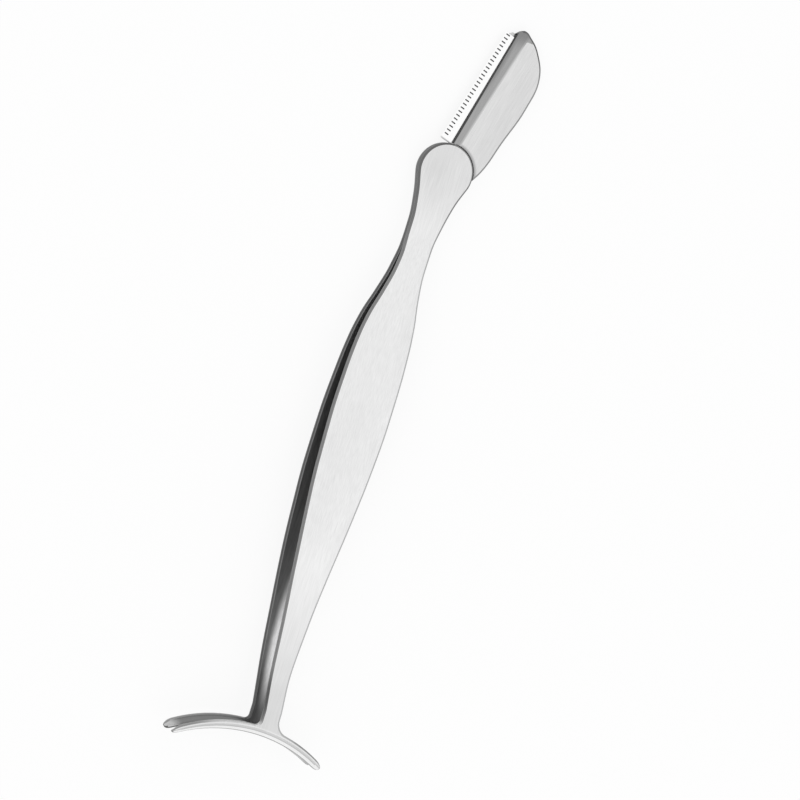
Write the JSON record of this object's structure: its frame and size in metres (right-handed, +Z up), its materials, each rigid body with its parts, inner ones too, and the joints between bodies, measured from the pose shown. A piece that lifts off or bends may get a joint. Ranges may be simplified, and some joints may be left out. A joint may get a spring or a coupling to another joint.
{
  "type": "lash applicator tweezers",
  "caption": "Brushed steel squeeze tweezers with curved T-shaped jaws for false lashes and a small guarded brow blade on a round head.",
  "frame": {"origin": "centre of the bounding box in X and Y, on the surface the tool lies on", "axes": "+Y along the tool from the jaws to the blade head, +Z up from the surface, +X across the jaws"},
  "size_m": [0.027, 0.119, 0.0077],
  "materials": {
    "arm_steel": "fine lengthwise brushing",
    "holder_steel": "fine lengthwise brushing",
    "blade_steel": "polished",
    "guard_steel": "polished"
  },
  "bodies": {
    "head": {"front_head": "arm_steel", "rear_head": "arm_steel", "blade_holder": "holder_steel", "blade": "blade_steel", "guard": "guard_steel"},
    "front_arm": {"front_arm": "arm_steel"},
    "rear_arm": {"rear_arm": "arm_steel"}
  },
  "joints": [
    {"name": "front_arm_flex", "type": "hinge", "parent": "head", "child": "front_arm", "pos_m": [0.00071, 0.02339, 0.00257], "axis": [1, 0, 0], "range_deg": [0, 0.82], "stiffness_Nm_per_rad": 2.6},
    {"name": "rear_arm_flex", "type": "hinge", "parent": "head", "child": "rear_arm", "pos_m": [0.00071, 0.02335, 0.00137], "axis": [-1, 0, 0], "range_deg": [0, 0.82], "stiffness_Nm_per_rad": 2.6}
  ],
  "couplings": [
    {"joint": "rear_arm_flex", "follows": "front_arm_flex", "ratio": 1}
  ]
}
